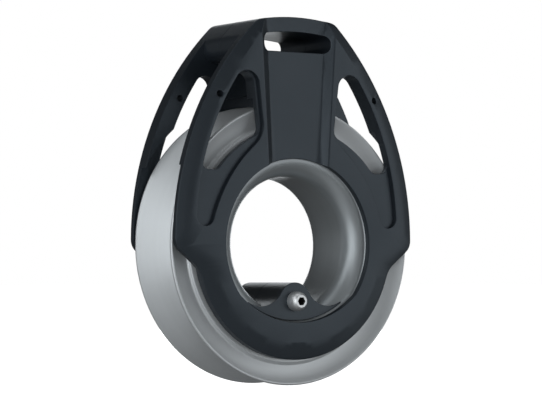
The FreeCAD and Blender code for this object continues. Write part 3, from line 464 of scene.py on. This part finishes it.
def turned(name, points, closed, slot, steps, centre=(0, 0, 0), pitch=1.0, marks=None):
    """A piece spun from a profile in millimetres. Marks give flats, knurls or threads a depth,
    and tell which stations lie in a recess, where the steel paints shade."""
    mesh = bpy.data.meshes.new(name)
    count = len(points)
    edges = [(number, number + 1) for number in range(count - 1)]
    mesh.from_pydata([(point.x * MM, point.y * MM, 0) for point in points], edges, [])
    for label in ("flats", "knurl", "thread", "recess"):
        values = [0.0] * count
        for number, depth in (marks or {}).get(label, {}).items():
            values[number] = depth * MM
        mesh.attributes.new(label, "FLOAT", "POINT").data.foreach_set("value", values)
    made = new_object(name, mesh)
    lathe = made.modifiers.new("Lathe", "NODES")
    lathe.node_group = turning_tree()
    wanted = {"Stations": count + 1 if closed else count, "Steps": steps,
              "Knurl teeth": KNURL_TEETH, "Thread pitch": pitch * MM, "Centre": centre,
              "Material": finishes()[slot]}
    for item in lathe.node_group.interface.items_tree:
        if item.in_out == "INPUT" and item.name in wanted:
            lathe[item.identifier] = wanted[item.name]
    bpy.context.view_layer.update()
    spun = made.evaluated_get(bpy.context.evaluated_depsgraph_get())
    plain = bpy.data.meshes.new_from_object(spun)
    made.modifiers.remove(lathe)
    made.data = plain
    bpy.data.meshes.remove(mesh)
    finish_mesh(plain)
    return made


def stand_in(piece, body, slot, *nodes):
    """Puts a piece on a body in place of the frame's nodes."""
    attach(piece, body)
    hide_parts(*nodes)


# Plates

def flat_planes(work):
    """The planes that hold three or more of the mesh's triangles, as a normal and its level."""
    found = {}
    for face in work.faces:
        level = face.normal.dot(face.verts[0].co)
        key = tuple(round(value, 3) for value in (*face.normal, level))
        found.setdefault(key, []).append((face.normal.copy(), level))
    return [planes[0] for planes in found.values() if len(planes) > 2]


def fill_again(work, normal, level, slack=0.02):
    """Fills a flat region anew from its rim, and puts it back as it was if the rim won't fill."""
    flat = [face for face in work.faces
            if all(abs(normal.dot(vert.co) - level) < slack for vert in face.verts)]
    held = set(flat)
    edges = list(dict.fromkeys(edge for face in flat for edge in face.edges))
    rim = [edge for edge in edges if len(held.intersection(edge.link_faces)) == 1]
    area = sum(math.copysign(face.calc_area(), face.normal.dot(normal)) for face in flat)
    corners = [list(face.verts) for face in flat]
    bmesh.ops.delete(work, geom=flat, context="FACES_ONLY")
    filled = bmesh.ops.triangle_fill(work, edges=rim, use_beauty=True, normal=normal)["geom"]
    faces = [item for item in filled if isinstance(item, bmesh.types.BMFace)]
    closed = all(len(edge.link_faces) == 2 for edge in rim)
    if closed and abs(sum(face.calc_area() for face in faces) - area) < 0.001 * area:
        loose = [edge for edge in edges if edge.is_valid and not edge.link_faces]
        bmesh.ops.delete(work, geom=loose, context="EDGES")
        return
    bmesh.ops.delete(work, geom=faces, context="FACES")
    for verts in corners:
        work.faces.new(verts)


def put_in_order(work):
    """Sorts a mesh's parts by their places, because a bevel leaves them in no fixed order."""
    for parts in (work.verts, work.edges, work.faces):
        places = {part: sorted(tuple(vert.co) for vert in getattr(part, "verts", (part,)))
                  for part in parts}
        rank = {part: number for number, part in enumerate(sorted(parts, key=places.get))}
        parts.sort(key=rank.get)


def is_outer_corner(edge):
    return edge.is_convex and edge.calc_face_angle(0.0) > PLATE_CORNER


def broken_edges(node, name, width, slot):
    """A copy of a plate whose outer corners are broken by a narrow round."""
    work = bmesh.new()
    work.from_mesh(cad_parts[node].data)
    bmesh.ops.scale(work, vec=(1 / MM,) * 3, verts=work.verts)
    bmesh.ops.remove_doubles(work, verts=work.verts, dist=WELD / MM)
    work.normal_update()
    planes = flat_planes(work)
    corners = [edge for edge in work.edges if is_outer_corner(edge)]
    bmesh.ops.bevel(work, geom=corners, offset=width / MM, offset_type="OFFSET", segments=2,
                    profile=0.5, affect="EDGES", clamp_overlap=False, miter_outer="ARC")
    work.normal_update()
    put_in_order(work)
    for normal, level in planes:
        fill_again(work, normal, level)
    for face in work.faces:
        face.smooth = True
    for edge in work.edges:
        edge.smooth = edge.calc_face_angle(0.0) < SHARP_EDGE
    put_in_order(work)
    bmesh.ops.scale(work, vec=(MM,) * 3, verts=work.verts)
    mesh = bpy.data.meshes.new(name)
    work.to_mesh(mesh)
    work.free()
    mesh.materials.append(finishes()[slot])
    made = new_object(name, mesh)
    flat = made.modifiers.new("Flat", "WEIGHTED_NORMAL")
    flat.mode = "FACE_AREA"
    flat.keep_sharp = True
    bpy.context.view_layer.update()
    weighted = made.evaluated_get(bpy.context.evaluated_depsgraph_get())
    plain = bpy.data.meshes.new_from_object(weighted)
    made.modifiers.clear()
    made.data = plain
    bpy.data.meshes.remove(mesh)
    return made


class SheaveBlockPiece:
    """What the block's operators share."""
    bl_options = {"REGISTER", "UNDO"}

    @property
    def shapes(self):
        return bpy.context.scene.sheave_block_shapes


class SHEAVEBLOCK_OT_cheeks(SheaveBlockPiece, bpy.types.Operator):
    """Add the two cheek plates with their edges broken"""
    bl_idname = "sheave_block.cheeks"
    bl_label = "Cheeks"

    def execute(self, context):
        for node in ("front_cheek", "rear_cheek"):
            plate = broken_edges(node, node + "_plate", self.shapes.plate_edge, "cheek_black")
            stand_in(plate, "block", "cheek_black", node)
        return {"FINISHED"}


class SHEAVEBLOCK_OT_post(SheaveBlockPiece, bpy.types.Operator):
    """Add the two halves of the post across the bore"""
    bl_idname = "sheave_block.post"
    bl_label = "Post"

    def execute(self, context):
        for node in ("front_lug", "rear_lug"):
            half = broken_edges(node, node + "_half", self.shapes.plate_edge, "lug_black")
            stand_in(half, "block", "lug_black", node)
        return {"FINISHED"}


class SHEAVEBLOCK_OT_hub(SheaveBlockPiece, bpy.types.Operator):
    """Turn the fixed hub with its flared bore"""
    bl_idname = "sheave_block.hub"
    bl_label = "Hub"

    def execute(self, context):
        race, shoulder, seat, rim, mouth, bore = 48.4, 49.9, 47.3, 45.9, 45.3, 36.0
        race_end, shoulder_end, end, land, flare = 14.2, 18.3, 22.0, 11.5, 10.0
        flare_end = land + math.sqrt(flare ** 2 - (bore + flare - mouth) ** 2)
        rear = [(race, race_end), (shoulder, race_end), (shoulder, shoulder_end),
                (seat, shoulder_end), (seat, end), (rim, end), (mouth, flare_end, flare),
                (bore, land)]
        front = [(place[0], -place[1]) for place in reversed(rear)]
        front[0] += (flare,)
        points = outline(rear + front, True, self.shapes.turned_edge / MM)
        ring = turned("hub_ring", points, True, "hub_alloy", self.shapes.steps)
        stand_in(ring, "block", "hub_alloy", "hub")
        return {"FINISHED"}


class SHEAVEBLOCK_OT_sheave(SheaveBlockPiece, bpy.types.Operator):
    """Turn the grooved sheave"""
    bl_idname = "sheave_block.sheave"
    bl_label = "Sheave"

    def execute(self, context):
        slope, rounding, floor = math.radians(45.5), 5.5, 60.0
        bore, counterbore, lip, dish, dish_end = 54.6, 59.7, 62.43, 64.4, 73.9
        bore_end, lip_face, dish_floor, side_face = 14.4, 17.03, 15.4, 18.77
        lip_round, dish_bow, crest_edge = 1.0, 24.0, 0.6
        bottom = (floor + rounding * (1 - math.sin(slope)), rounding * math.cos(slope))
        flank = bottom[1] + (SHEAVE_RADIUS - bottom[0]) * math.tan(slope)
        side = [(bore, bore_end), (counterbore, bore_end), (counterbore, lip_face),
                (lip, lip_face), (lip + lip_round, lip_face - lip_round), (dish, dish_floor),
                (dish_end, side_face), (SHEAVE_RADIUS - crest_edge, side_face),
                (SHEAVE_RADIUS, side_face - crest_edge), (SHEAVE_RADIUS, flank), bottom]
        upper = list(side)
        lower = [(place[0], -place[1]) for place in reversed(side)]
        # The arcs of the lip and the dish start at these steps, and end there on the other half
        for step, radius in ((3, -lip_round), (5, dish_bow)):
            upper[step] += (radius,)
            lower[-2 - step] += (radius,)
        upper[-1] += (rounding,)
        points = outline(upper + lower, True, self.shapes.turned_edge / MM)
        ring = turned("sheave_ring", points, True, "sheave_alloy", self.shapes.steps)
        stand_in(ring, "sheave", "sheave_alloy", "sheave")
        return {"FINISHED"}


class SHEAVEBLOCK_OT_bearing(SheaveBlockPiece, bpy.types.Operator):
    """Turn the rollers, and finish their cage and the thrust rings"""
    bl_idname = "sheave_block.bearing"
    bl_label = "Bearing"

    def execute(self, context):
        made = finishes()
        chamfer, edge = 0.4, 0.12
        rollers = [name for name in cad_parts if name.startswith("roller_")
                   and name != "roller_cage"]
        if not rollers:
            raise RuntimeError("the frame has no rollers")
        for node in rollers:
            low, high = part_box(node)
            centre = (low + high) / 2
            reach, half = (high.z - low.z) / 2 / MM, (high.y - low.y) / 2 / MM
            steps = [(0, -half), (reach - chamfer, -half), (reach, chamfer - half),
                     (reach, half - chamfer), (reach - chamfer, half), (0, half)]
            rod = turned(node + "_rod", outline(steps, False, edge), False, "roller_polymer",
                         self.shapes.small_steps, centre=centre)
            stand_in(rod, "cage", "roller_polymer", node)
        for node, slot in (("roller_cage", "cage_polymer"), ("front_thrust_ring", "ring_polymer"),
                           ("rear_thrust_ring", "ring_polymer")):
            paint(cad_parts[node], made[slot])
        return {"FINISHED"}


def paint(piece, material):
    """One material for all of a piece."""
    if not piece.material_slots:
        piece.data.materials.append(material)
    for slot in piece.material_slots:
        slot.material = material


def threaded(start, end, radius, pitch, per_turn=8):
    """Stations along a threaded shank, and the depth of its thread at each. The thread runs out
    over one turn at either end."""
    count = max(2, round(abs(end - start) / pitch * per_turn))
    points = [Vector((radius, start + (end - start) * number / count))
              for number in range(count + 1)]
    depth = 0.6 * pitch
    depths = [depth * min(1.0, number / per_turn, (count - number) / per_turn)
              for number in range(count + 1)]
    return points, depths


def vectors(*places):
    return [Vector(place) for place in places]


def numbered(first, depths):
    """Depths by the number of their station, from the first on."""
    return {first + number: depth for number, depth in enumerate(depths)}


def screw_axis(low, high):
    """A screw's axis in metres, from its box in millimetres."""
    return ((low.x + high.x) / 2 * MM, 0, (low.z + high.z) / 2 * MM)


class SHEAVEBLOCK_OT_screws(SheaveBlockPiece, bpy.types.Operator):
    """Turn the post's button-head screw and the head's two cap screws"""
    bl_idname = "sheave_block.screws"
    bl_label = "Screws"

    def execute(self, context):
        self.button_screw()
        for node in ("left_head_screw", "right_head_screw"):
            self.cap_screw(node)
        return {"FINISHED"}

    def button_screw(self):
        low, high = (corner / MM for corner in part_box("post_screw"))
        top, end = low.y, high.y
        head, flat, rim, shank_radius, tip, thread_start = 5.25, 3.3, 1.8, 3.0, 0.4, -4.0
        key_half, key_floor, key_point, seat = 2.0, top + 3.2, top + 3.8, top + 6.0
        crown = outline([(flat, top, head), (head, seat - rim)], False, parts=12)
        key = vectors((0, key_point), (key_half - 0.1, key_floor), (key_half, key_floor),
                      (key_half, top + 0.12), (key_half + 0.1, top))
        shank, depths = threaded(thread_start, end - tip, shank_radius, 1.0)
        points = key + crown + vectors((head, seat), (shank_radius, seat)) + shank
        points += vectors((shank_radius - tip, end), (0, end))
        marks = {"flats": {number: points[number].x for number in range(1, len(key))},
                 "thread": numbered(points.index(shank[0]), depths),
                 # Recess marks on the socket's stations, where the steel paints shade nearly
                 # black.
                 "recess": dict.fromkeys(range(len(key) - 1), 1.0)}
        screw = turned("post_screw_turned", points, False, "stainless", 96,
                       centre=screw_axis(low, high), marks=marks)
        stand_in(screw, "block", "stainless", "post_screw")

    def cap_screw(self, node):
        low, high = (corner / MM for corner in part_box(node))
        top, end = high.y, low.y
        head, shank_radius, tip, pitch, thread_end, knurl = 3.5, 2.0, 0.4, 0.7, 5.0, 0.16
        key_half, key_floor, seat = 1.5, top - 2.0, top - 4.0
        shank, depths = threaded(end + tip, thread_end, shank_radius, pitch)
        cap = vectors((shank_radius, seat), (head - 0.2, seat), (head, seat + 0.2),
                      (head, top - 0.5), (head - 0.4, top))
        key = vectors((key_half + 0.1, top), (key_half, top - 0.1), (key_half, key_floor),
                      (key_half - 0.1, key_floor), (0, key_floor - 0.5))
        points = vectors((0, end), (shank_radius - tip, end)) + shank + cap + key
        count, first_key = len(points), len(points) - len(key)
        marks = {"flats": {number: points[number].x for number in range(first_key, count - 1)},
                 "thread": numbered(2, depths),
                 "knurl": {first_key - 3: knurl, first_key - 2: knurl},
                 # Recess marks on the socket's stations, where the steel paints shade nearly
                 # black.
                 "recess": dict.fromkeys(range(first_key + 1, count), 1.0)}
        screw = turned(node + "_turned", points, False, "stainless", 144,
                       centre=screw_axis(low, high), pitch=pitch, marks=marks)
        stand_in(screw, "block", "stainless", node)


# Studio

# Each area light's name, its place, and its width and height
LIGHTS = (
    ("left", (-1.06, -0.82, 0.0), (1.05, 1.0)),
    ("right", (0.96, -1.04, 0.12), (1.3, 1.2)),
    ("upper", (-1.15, -0.25, 0.8), (0.9, 0.9)),
    ("front", (-0.45, -1.35, 0.25), (0.7, 0.9)),
    ("low", (-0.5, -0.85, -0.88), (2.2, 0.8)),
    ("rear", (-1.2, 0.9, 0.2), (0.8, 1.0)),
    ("back", (0.95, 1.1, 0.3), (1.4, 1.2)),
    ("top", (0.0, -0.1, 1.4), (1.2, 1.0)),
)
LIGHT_AIM = (0, 0, 0.02)
LIGHT_TONE = (0.96, 1.0, 1.02)
FLOOR_REACH = 30.0
SENSOR_WIDTH = 36.0


def light(name, place, size, power):
    lamp = bpy.data.lights.new(name, "AREA")
    lamp.shape = "RECTANGLE"
    lamp.size, lamp.size_y = size
    lamp.energy = power
    lamp.color = LIGHT_TONE
    made = new_object(name, lamp)
    made.location = place
    away = Vector(LIGHT_AIM) - Vector(place)
    made.rotation_euler = away.to_track_quat("-Z", "Y").to_euler()


class SHEAVEBLOCK_OT_stage(bpy.types.Operator):
    """Set up the floor, the room, the lights and the camera"""
    bl_idname = "sheave_block.stage"
    bl_label = "Studio"
    bl_options = {"REGISTER", "UNDO"}

    def execute(self, context):
        studio = context.scene.sheave_block_studio
        self.floor()
        self.room(studio.room)
        for name, place, size in LIGHTS:
            light(name + "_box", place, size, getattr(studio, name))
        self.camera(studio)
        context.scene.view_settings.view_transform = "Standard"
        return {"FINISHED"}

    def floor(self):
        mesh = bpy.data.meshes.new("floor")
        work = bmesh.new()
        bmesh.ops.create_grid(work, x_segments=8, y_segments=8, size=FLOOR_REACH)
        work.to_mesh(mesh)
        work.free()
        ground = new_object("floor", mesh)
        mesh.transform(Matrix.Translation((0, 0, CAD_BOX[0].z)))
        material, nodes = new_material("studio_floor")
        cloud = nodes.add("ShaderNodeTexNoise", {"Vector": object_place(nodes), "Scale": 3.0})
        tone = tinted(nodes, (0.93, 0.93, 0.93), cloud, low=0.99, high=1.01)
        shaded(material, nodes, tone, 0.7, Emission_Strength=1.0,
               Emission_Color=(1, 1, 1, 1))
        mesh.materials.append(material)
        ground.visible_diffuse = ground.visible_glossy = ground.visible_shadow = False

    def room(self, strength):
        """A white room that lights the block more weakly than it looks."""
        world = bpy.data.worlds.new("studio")
        world.use_nodes = True
        bpy.context.scene.world = world
        world.node_tree.nodes.clear()
        nodes = Nodes(world.node_tree)
        seen = nodes.add("ShaderNodeLightPath").outputs["Is Camera Ray"]
        bright = spread(nodes, seen, strength, 1.0)
        back = nodes.add("ShaderNodeBackground", {"Color": (1, 1, 1, 1), "Strength": bright})
        nodes.add("ShaderNodeOutputWorld", {"Surface": back})

    def camera(self, studio):
        turn, rise = studio.azimuth, studio.elevation
        back = Vector((math.sin(turn) * math.cos(rise), -math.cos(turn) * math.cos(rise),
                       math.sin(rise)))
        right = Vector((math.cos(turn), math.sin(turn), 0))
        up = back.cross(right)
        view = bpy.data.cameras.new("studio_camera")
        view.sensor_fit = "HORIZONTAL"
        view.sensor_width = SENSOR_WIDTH
        view.lens = studio.lens
        view.clip_start, view.clip_end = 0.05, 100.0
        made = new_object("studio_camera", view)
        axes = Matrix((right, up, back)).transposed().to_4x4()
        made.matrix_world = Matrix.Translation(Vector(studio.aim) + back * studio.distance) @ axes
        bpy.context.scene.camera = made


class SHEAVEBLOCK_PT_panel(bpy.types.Panel):
    """The block's pieces, sizes and finishes"""
    bl_idname = "SHEAVEBLOCK_PT_panel"
    bl_label = "Sheave Block"
    bl_space_type = "VIEW_3D"
    bl_region_type = "UI"
    bl_category = "Sheave Block"

    def draw(self, context):
        for operator in PIECES:
            self.layout.operator(operator.bl_idname)
        for group, held in GROUPS.items():
            box = self.layout.box()
            settings = getattr(context.scene, held)
            for name in group.__annotations__:
                box.prop(settings, name)


GROUPS = {SheaveBlockFinish: "sheave_block_finish", SheaveBlockShapes: "sheave_block_shapes",
          SheaveBlockStudio: "sheave_block_studio"}
PIECES = (SHEAVEBLOCK_OT_stage, SHEAVEBLOCK_OT_cheeks, SHEAVEBLOCK_OT_post, SHEAVEBLOCK_OT_hub,
          SHEAVEBLOCK_OT_sheave, SHEAVEBLOCK_OT_bearing, SHEAVEBLOCK_OT_screws)


def register():
    for group, name in GROUPS.items():
        bpy.utils.register_class(group)
        setattr(bpy.types.Scene, name, PointerProperty(type=group))
    for kind in PIECES + (SHEAVEBLOCK_PT_panel,):
        bpy.utils.register_class(kind)


def unregister():
    for kind in reversed(PIECES + (SHEAVEBLOCK_PT_panel,)):
        bpy.utils.unregister_class(kind)
    for group, name in GROUPS.items():
        delattr(bpy.types.Scene, name)
        bpy.utils.unregister_class(group)


def main():
    register()
    for operator in PIECES:
        family, name = operator.bl_idname.split(".")
        getattr(getattr(bpy.ops, family), name)()


if __name__ == "__main__":
    main()
